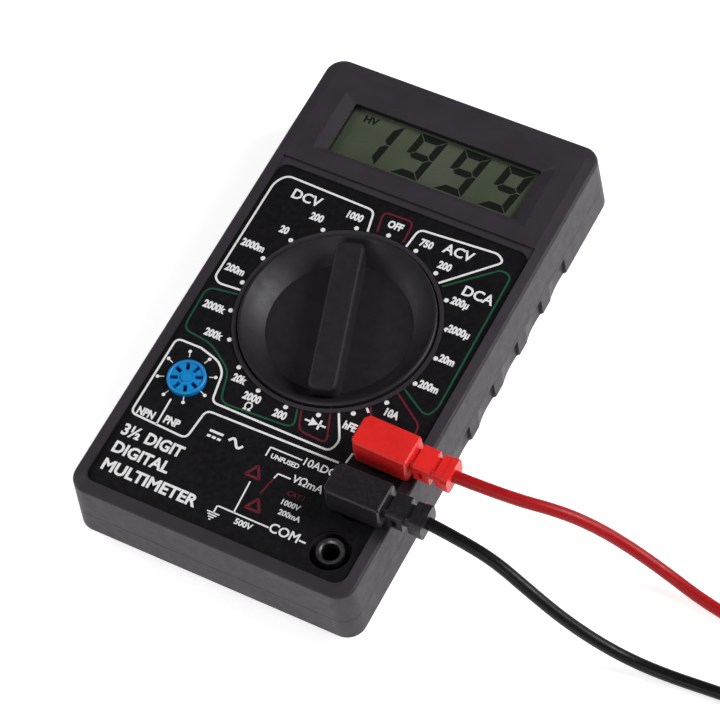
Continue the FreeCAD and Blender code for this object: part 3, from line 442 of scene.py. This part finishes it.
class Ink:
    """Everything that is printed in one colour, as one thin closed mesh."""

    def __init__(self, name, colour, z, roughness=0.45):
        self.name = name
        self.low = (z - INK_SINK) * MM
        self.high = (z + INK) * MM
        self.mesh = bmesh.new()
        surface = Surface(name, colour, roughness)
        # the ink is thinner, and so darker, in places
        thin_ink = [c * 0.72 for c in colour]
        surface.tint(surface.noise(0.8, 4.0), thin_ink, 0.56, 0.74)
        surface.grain(0.3, 0.01)
        self.material = surface.material

    def stroke(self, points, width, radius=1.2, closed=False):
        """A line of even width, with rounded corners."""
        path = rounded(points, radius, closed)
        count = len(path)
        rows = []
        for index, here in enumerate(path):
            if closed:
                before = path[index - 1]
                after = path[(index + 1) % count]
            else:
                before = path[max(index - 1, 0)]
                after = path[min(index + 1, count - 1)]
            along = (after - before).normalized()
            side = Vector((-along.y, along.x)) * width / 2
            left = (here + side) * MM
            right = (here - side) * MM
            section = ((left, self.high), (right, self.high), (right, self.low), (left, self.low))
            rows.append([self.mesh.verts.new((*edge, z)) for edge, z in section])
        pairs = list(zip(rows, rows[1:]))
        if closed:
            pairs.append((rows[-1], rows[0]))
        else:
            self.mesh.faces.new(rows[0])
            self.mesh.faces.new(rows[-1][::-1])
        for first, second in pairs:
            for k in range(4):
                n = (k + 1) % 4
                self.mesh.faces.new((first[k], second[k], second[n], first[n]))

    def patch(self, outline):
        """A filled shape."""
        top = [self.mesh.verts.new((x * MM, y * MM, self.high)) for x, y in outline]
        bottom = [self.mesh.verts.new((x * MM, y * MM, self.low)) for x, y in outline]
        self.mesh.faces.new(top)
        self.mesh.faces.new(bottom[::-1])
        count = len(outline)
        for k in range(count):
            n = (k + 1) % count
            self.mesh.faces.new((top[k], bottom[k], bottom[n], top[n]))

    def dot(self, x, y, radius):
        """A round spot."""
        angles = [2 * math.pi * k / DOT_SIDES for k in range(DOT_SIDES)]
        self.patch([(x + radius * math.cos(a), y + radius * math.sin(a)) for a in angles])

    def words(self, text, x, y, cap, weight=0.018, stretch=1.0):
        """Upright lettering centred on a point, with capitals of a given height."""
        curve = bpy.data.curves.new("words", "FONT")
        curve.body = text
        curve.size = cap / CAP_SHARE * MM
        curve.offset = weight * curve.size
        curve.align_x = "CENTER"
        curve.align_y = "CENTER"
        curve.resolution_u = 3
        curve.extrude = (self.high - self.low) / 2
        label = bpy.data.objects.new("words", curve)
        bpy.context.scene.collection.objects.link(label)
        bpy.context.view_layer.update()
        graph = bpy.context.evaluated_depsgraph_get()
        shape = bpy.data.meshes.new_from_object(label.evaluated_get(graph))
        middle = (self.high + self.low) / 2
        widen = Matrix.Diagonal((stretch, 1, 1, 1))
        shape.transform(Matrix.Translation((x * MM, y * MM, middle)) @ widen)
        self.mesh.from_mesh(shape)
        bpy.data.objects.remove(label)
        bpy.data.meshes.remove(shape)

    def finish(self, body, slot):
        """Turn it into a piece on a body, with the ink's own material; the slot is not used."""
        bmesh.ops.recalc_face_normals(self.mesh, faces=self.mesh.faces)
        mesh = bpy.data.meshes.new(self.name)
        self.mesh.to_mesh(mesh)
        self.mesh.free()
        mesh.materials.append(self.material)
        piece = bpy.data.objects.new(self.name, mesh)
        bpy.context.scene.collection.objects.link(piece)
        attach(piece, body)


POSITIONS = 20               # of the selector
DOT_CENTRE_Y = -1.28
DOT_RING = 24.28
DOT_R = 0.56

FRAME_WIDTH = 0.50           # white outlines
THIN_WIDTH = 0.44            # red and green outlines
SIGN_WIDTH = 0.6             # lines of the larger signs
LEADER_WIDTH = 0.35          # lines between the jacks' legends

# heights of capitals, and how much the letters are thickened, as a share of their size
NUMBER = 1.90
NUMBER_WEIGHT = 0.045
NUMBER_STRETCH = 0.80
HEADING = 2.60
HEADING_WEIGHT = 0.024
TITLE = 2.85
TITLE_WEIGHT = 0.034
SMALL_WEIGHT = 0.03

white = Ink("legend_white", (0.80, 0.80, 0.80), LABEL_Z)
green = Ink("legend_green", (0.006, 0.080, 0.036), LABEL_Z)
red = Ink("legend_red", (0.130, 0.008, 0.020), LABEL_Z)


def print_dots():
    """One dot at each position of the selector."""
    for step in range(POSITIONS):
        angle = math.radians(90 + 360 / POSITIONS * step)
        white.dot(DOT_RING * math.cos(angle), DOT_CENTRE_Y + DOT_RING * math.sin(angle), DOT_R)


def print_range_numbers():
    """The ranges round the dial, the two types of transistor, and the headings."""
    for text, x, y in (
        ("OFF", 0.3, 25.8), ("1000", -9.4, 24.4), ("200", -17.1, 20.7), ("20", -22.3, 14.8),
        ("2000m", -26.8, 8.3), ("200m", -27.4, 1.0), ("2000k", -27.0, -9.5), ("200k", -23.7, -15.8),
        ("20k", -12.8, -23.6), ("2000", -7.9, -26.6), ("200", -0.3, -27.8), ("hFE", 15.1, -24.2),
        ("10A", 21.8, -17.7), ("750", 8.9, 24.3), ("200", 15.3, 20.7), ("200µ", 22.8, 13.5),
        ("2000µ", 25.9, 6.7), ("20m", 26.8, -0.8), ("200m", 26.2, -8.4), ("NPN", -27.4, -39.5),
        ("PNP", -21.1, -39.1),
    ):
        white.words(text, x, y, NUMBER, NUMBER_WEIGHT, NUMBER_STRETCH)
    for text, x, y in (("DCV", -21.8, 24.4), ("ACV", 16.5, 25.1), ("DCA", 25.5, 16.8)):
        white.words(text, x, y, HEADING, HEADING_WEIGHT)
    white.words("Ω", -7.6, -28.9, 2.0)


def print_white_frames():
    """Outlines of the voltage ranges, of hFE and of the transistor socket."""
    for points in (
        [(-4.8, 22.0), (-6.0, 27.6), (-28.7, 28.2), (-30.6, 25.4), (-30.7, -2.4), (-29.1, -3.6),
         (-23.4, -3.2)],
        [(5.0, 21.9), (5.6, 27.2), (24.8, 28.5), (26.8, 26.9), (16.0, 16.3)],
        [(-24.4, -20.0), (-19.2, -21.4), (-16.9, -23.6), (-15.5, -31.1), (13.9, -31.3),
         (14.8, -28.3), (10.8, -21.2)],
        [(-24.4, -20.0), (-30.6, -20.0), (-30.6, -40.7), (-16.2, -41.4), (-15.5, -33.4),
         (17.1, -33.0)],
        [(15.8, -18.0), (17.2, -19.4)],
    ):
        white.stroke(points, FRAME_WIDTH, radius=1.5)
    white.stroke([(-24.1, -34.1), (-23.9, -41.0)], THIN_WIDTH)
    white.stroke([(18.5, -32.4), (18.8, -29.7)], THIN_WIDTH)


def print_coloured_frames():
    """Green outlines of the current and resistance ranges, and red ones of OFF, the diode and 10 A."""
    for points in (
        [(17.1, 15.8), (27.3, 25.0), (30.0, 24.3), (30.4, -12.3), (29.3, -14.6), (27.8, -14.6),
         (21.2, -10.7)],
        [(-23.4, -4.4), (-31.0, -5.5), (-30.6, -17.2), (-22.9, -18.1), (-16.0, -22.6),
         (-13.8, -30.4), (4.1, -29.5), (2.2, -23.8)],
    ):
        green.stroke(points, THIN_WIDTH, radius=2.2)
    for points in (
        [(-2.8, 22.8), (-3.9, 28.2), (3.6, 28.4), (3.9, 22.6)],
        [(3.0, -23.4), (5.3, -29.5), (12.4, -29.9), (9.1, -21.5)],
        [(19.9, -11.9), (28.8, -17.8), (28.9, -23.0)],
        [(16.5, -17.1), (18.6, -21.0)],
    ):
        red.stroke(points, THIN_WIDTH, radius=1.6)


def print_diode_sign():
    """Arrow and bar between two short leads."""
    x, y = 7.9, -26.5
    white.patch([(x - 1.3, y + 1.1), (x - 1.3, y - 1.1), (x + 0.7, y)])
    white.stroke([(x + 0.95, y + 1.2), (x + 0.95, y - 1.2)], 0.5)
    white.stroke([(x - 2.6, y), (x - 1.2, y)], 0.45)
    white.stroke([(x + 1.0, y), (x + 2.5, y)], 0.45)


def print_socket_marks():
    """Eight dots with short leaders round the transistor socket."""
    middle = Vector((-23.7, -27.8))
    leader_start, leader_end, dot_ring = 5.0, 6.1, 6.5
    count = 8
    for step in range(count):
        angle = 2 * math.pi * (step + 0.5) / count
        ray = Vector((math.cos(angle), math.sin(angle)))
        white.stroke([middle + ray * leader_start, middle + ray * leader_end], 0.22)
        white.dot(*(middle + ray * dot_ring), 0.42)


def print_title():
    """Three lines of large letters, each of its own width."""
    for text, x, y, stretch in (
        ("3½ DIGIT", -22.6, -45.0, 0.92),
        ("DIGITAL", -22.9, -49.6, 0.96),
        ("MULTIMETER", -18.2, -54.3, 1.03),
    ):
        white.words(text, x, y, TITLE, TITLE_WEIGHT, stretch)


def print_current_signs(x, y):
    """A line over three dashes for direct current, and a wave for alternating current."""
    left = x - 4.0
    white.stroke([(left, y + 0.6), (x - 0.6, y + 0.6)], SIGN_WIDTH)
    dash_pitch, dash_length = 1.25, 0.9
    for dash in range(3):
        start = left + dash_pitch * dash
        white.stroke([(start, y - 0.7), (start + dash_length, y - 0.7)], SIGN_WIDTH)
    wave_length, wave_height, steps = 3.6, 0.9, 12
    wave = []
    for index in range(steps + 1):
        turn = 2 * math.pi * index / steps
        wave.append((x + 1.0 + wave_length * index / steps, y + wave_height * math.sin(turn)))
    white.stroke(wave, SIGN_WIDTH, radius=0.1)


def print_jack_legends():
    """The jacks' names, the small generic words by them and the lines that lead to them."""
    print_current_signs(-8.4, -38.0)
    for text, x, y, cap in (
        ("10ADC", 13.8, -35.8, 1.9),
        ("VΩmA", 13.5, -40.5, 1.9),
        ("COM", 14.5, -52.9, 2.3),
    ):
        white.words(text, x, y, cap)
    for text, x, y, cap in (
        ("UNFUSED", 6.3, -37.5, 1.15),
        ("1000V", 12.4, -46.4, 1.3),
        ("200mA", 13.5, -48.8, 1.3),
        ("500V", 5.4, -54.7, 1.45),
    ):
        white.words(text, x, y, cap, SMALL_WEIGHT)
    red.words("CAT I", 12.5, -44.0, 1.2)
    for points in (
        [(1.8, -38.0), (1.8, -35.7), (9.6, -35.7)],
        [(6.1, -42.1), (6.4, -40.8), (9.5, -40.8)],
        [(-1.7, -53.0), (10.8, -53.1)],
        [(1.8, -44.9), (2.2, -53.0)],
    ):
        white.stroke(points, LEADER_WIDTH, radius=0.2)
    white.stroke([(18.2, -53.1), (19.8, -53.1)], 0.4)


def print_triangles():
    """Two plain triangles, and the line to the lower one."""
    for x, y in ((1.6, -42.5), (5.5, -49.6)):
        corners = [(x - 1.7, y - 1.2), (x + 1.7, y - 1.2), (x, y + 1.7)]
        red.stroke(corners, SIGN_WIDTH, radius=0.3, closed=True)
    red.stroke([(6.1, -42.1), (5.2, -46.7)], LEADER_WIDTH)


def print_ground_sign():
    """A stem over four bars, each shorter than the one above it."""
    x, top = -1.8, -54.9
    white.stroke([(x, top + 1.9), (x, top)], LEADER_WIDTH)
    for row in range(4):
        half = 1.5 - 0.42 * row
        bar_y = top - 0.55 * row
        white.stroke([(x - half, bar_y), (x + half, bar_y)], 0.3)


print_dots()
print_range_numbers()
print_white_frames()
print_coloured_frames()
print_diode_sign()
print_socket_marks()
print_title()
print_jack_legends()
print_triangles()
print_ground_sign()
for ink in (white, green, red):
    ink.finish("case", "label_film")


# ================================================================ display
LCD_Z = top_of("lcd_glass")
DIGIT_Y = 45.75
DIGIT_PITCH = 11.1
LAST_DIGIT_X = 18.1
DIGIT_HALF_WIDTH = 3.45
DIGIT_HALF_HEIGHT = 6.15
SEGMENT = 1.8
GAP = 0.16                   # half the clear line between two bars
SLANT = 0.16                 # how far the digits lean, per unit of height
LIT = {"1": "bc", "9": "abcdfg"}

lcd = Ink("lcd_segments", (0.006, 0.008, 0.006), LCD_Z, roughness=0.35)


def segment_outlines():
    """The seven bars of an upright digit about its own middle, mitred where they meet."""
    w, h, t, g = DIGIT_HALF_WIDTH, DIGIT_HALF_HEIGHT, SEGMENT, GAP
    top = [(-w + g, h), (w - g, h), (w - t - g, h - t), (-w + t + g, h - t)]
    right = [(w, h - g), (w, g), (w - t / 2, g), (w - t, t / 2 + g), (w - t, h - t - g)]
    middle = [(-w + t / 2 + g, 0), (-w + t + g, t / 2), (w - t - g, t / 2), (w - t / 2 - g, 0),
              (w - t - g, -t / 2), (-w + t + g, -t / 2)]
    flips = {"a": (top, 1, 1), "d": (top, 1, -1), "b": (right, 1, 1), "c": (right, 1, -1),
             "f": (right, -1, 1), "e": (right, -1, -1), "g": (middle, 1, 1)}
    return {name: [(x * fx, y * fy) for x, y in bar] for name, (bar, fx, fy) in flips.items()}


def print_digits(text):
    """Digits that lean to the right, from the last one back."""
    bars = segment_outlines()
    for place, figure in enumerate(reversed(text)):
        middle_x = LAST_DIGIT_X - DIGIT_PITCH * place
        for name in LIT[figure]:
            lcd.patch([(middle_x + x + SLANT * y, DIGIT_Y + y) for x, y in bars[name]])


print_digits("1999")
lcd.words("HV", -19.0, 50.3, 1.9, weight=0.04)
lcd.finish("case", "lcd_cell")


# ================================================================ stage and light
FLOOR_REACH = 4.0            # metres from the middle to each edge
FLOOR_GLOW = 0.62
SKY_STRENGTH = 0.06

# name, place in metres, width and height in metres, power in watts
LIGHTS = (
    ("key", (0.84, 0.50, 0.70), 0.55, 0.55, 14.5),
    ("front", (0.10, -1.05, 0.60), 0.9, 0.5, 4.5),
    ("left", (-0.95, -0.25, 0.75), 0.7, 0.6, 5.5),
)


def make_floor():
    """A pale floor that glows a little, so that shadows on it stay faint."""
    surface = Surface(
        "floor", (0.93, 0.93, 0.93), 0.7, Emission_Color=(1, 1, 1, 1), Emission_Strength=FLOOR_GLOW,
    )
    surface.tint(surface.noise(60.0), (0.90, 0.90, 0.905), 0.4, 0.6)
    surface.grain(1.5, 0.05)
    mesh = bpy.data.meshes.new("floor")
    corners = [(x * FLOOR_REACH, y * FLOOR_REACH, 0) for x, y in ((-1, -1), (1, -1), (1, 1), (-1, 1))]
    mesh.from_pydata(corners, [], [(0, 1, 2, 3)])
    mesh.materials.append(surface.material)
    floor = bpy.data.objects.new("floor", mesh)
    bpy.context.scene.collection.objects.link(floor)


def area_light(name, place, width, height, power):
    """A soft light that faces the origin."""
    data = bpy.data.lights.new(name, "AREA")
    data.shape = "RECTANGLE"
    data.size = width
    data.size_y = height
    data.energy = power
    light = bpy.data.objects.new(name, data)
    light.location = place
    light.rotation_euler = (-Vector(place)).to_track_quat("-Z", "Y").to_euler()
    bpy.context.scene.collection.objects.link(light)


def make_world():
    """An even, nearly white sky."""
    world = bpy.data.worlds.new("world")
    world.use_nodes = True
    background = world.node_tree.nodes["Background"]
    background.inputs["Color"].default_value = (1.0, 0.99, 1.0, 1)
    background.inputs["Strength"].default_value = SKY_STRENGTH
    bpy.context.scene.world = world


make_floor()
make_world()
for row in LIGHTS:
    area_light(*row)
bpy.context.scene.view_settings.view_transform = "Standard"
